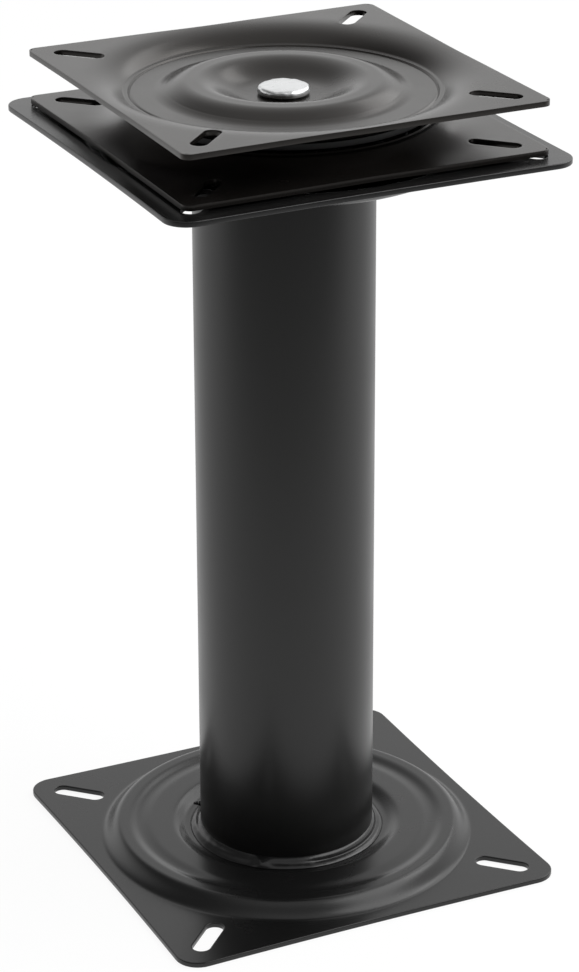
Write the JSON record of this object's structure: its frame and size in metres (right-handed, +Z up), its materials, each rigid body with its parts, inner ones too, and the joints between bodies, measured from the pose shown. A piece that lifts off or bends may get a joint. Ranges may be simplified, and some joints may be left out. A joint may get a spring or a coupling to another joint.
{
  "type": "boat seat pedestal",
  "caption": "Tube column on a square pressed floor plate, with a square mount plate and a ball-bearing seat swivel on top.",
  "frame": {"origin": "on the floor under the column's axis: the centre of the floor plate's flat underside", "axes": "+Z up the column, which is the swivel axis; +X and +Y through two corners of the square plates, so that the slots run along X and Y and the plates' edges lie at 45 degrees"},
  "size_m": [0.27, 0.27, 0.3885],
  "materials": {
    "base_plate": "satin",
    "column_tube": "satin",
    "foot_weld": "satin",
    "head_weld": "satin",
    "mount_plate": "satin",
    "swivel_weld_pads": "satin",
    "swivel_lower_plate": "satin",
    "swivel_upper_plate": "satin",
    "bearing_balls": "polished",
    "ball_cage": "satin",
    "pivot_rivet": "satin",
    "head_washer": "satin",
    "thrust_washer": "satin",
    "pivot_bush": "satin",
    "tail_washer": "satin"
  },
  "bodies": {
    "stand": {"base_plate": "base_plate", "column_tube": "column_tube", "foot_weld": "foot_weld", "head_weld": "head_weld", "mount_plate": "mount_plate", "swivel_weld_pads": "swivel_weld_pads", "swivel_lower_plate": "swivel_lower_plate", "pivot_rivet": "pivot_rivet", "head_washer": "head_washer", "thrust_washer": "thrust_washer", "tail_washer": "tail_washer"},
    "ball_ring": {"ball_cage": "ball_cage", "bearing_balls": "bearing_balls"},
    "seat_plate": {"swivel_upper_plate": "swivel_upper_plate", "pivot_bush": "pivot_bush"}
  },
  "joints": [
    {"name": "seat_swivel", "type": "hinge", "parent": "stand", "child": "seat_plate", "pos_m": [0, 0, 0.37595], "axis": [0, 0, 1], "continuous": true},
    {"name": "ball_ring_turn", "type": "hinge", "parent": "stand", "child": "ball_ring", "pos_m": [0, 0, 0.37595], "axis": [0, 0, 1], "continuous": true}
  ],
  "couplings": [
    {"joint": "ball_ring_turn", "follows": "seat_swivel", "ratio": 0.5}
  ]
}
